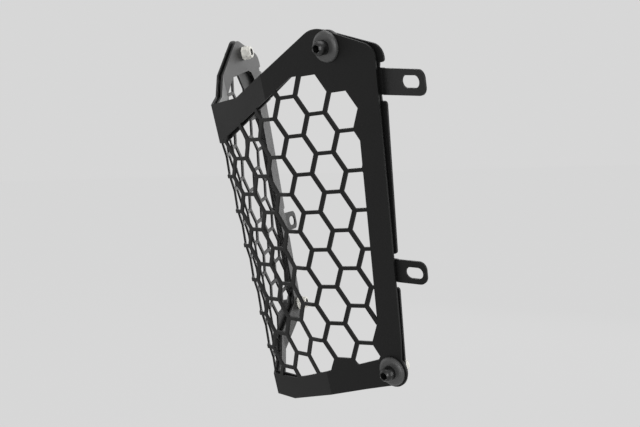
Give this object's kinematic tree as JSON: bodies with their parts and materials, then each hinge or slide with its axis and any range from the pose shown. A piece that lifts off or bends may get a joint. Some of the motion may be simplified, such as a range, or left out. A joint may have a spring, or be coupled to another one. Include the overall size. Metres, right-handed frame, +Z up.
{
  "type": "headlight guard",
  "caption": "Folded hexagon mesh headlight guard on a folded carrier frame with slotted mounting tabs and rubber cushioned screws.",
  "frame": {"origin": "on the plane of symmetry, on the outer face of the nose fold, just below the fold's top corner", "axes": "+X across the guard, towards the wing that is nearest in the picture; -Y out of the front of the guard; +Z up. The nose fold runs back by 12.7 degrees from the vertical on its way down"},
  "size_m": [0.3146, 0.091, 0.2237],
  "materials": {
    "grille_black": "satin black powder coat",
    "frame_black": "satin black powder coat",
    "screw_black": "black oxide, satin",
    "cushion_rubber": "matt dark grey rubber",
    "washer_rubber": "matt dark grey rubber",
    "sleeve_steel": "zinc plated",
    "nut_steel": "zinc plated, satin"
  },
  "bodies": {
    "root": {"grille": "grille_black", "frame": "frame_black", "screw_ru": "screw_black", "screw_lu": "screw_black", "screw_rl": "screw_black", "screw_ll": "screw_black", "cushion_ru": "cushion_rubber", "cushion_lu": "cushion_rubber", "cushion_rl": "cushion_rubber", "cushion_ll": "cushion_rubber", "washer_ru": "washer_rubber", "washer_lu": "washer_rubber", "washer_rl": "washer_rubber", "washer_ll": "washer_rubber", "sleeve_ru": "sleeve_steel", "sleeve_lu": "sleeve_steel", "sleeve_rl": "sleeve_steel", "sleeve_ll": "sleeve_steel", "nut_ru": "nut_steel", "nut_lu": "nut_steel", "nut_rl": "nut_steel", "nut_ll": "nut_steel"}
  },
  "joints": []
}
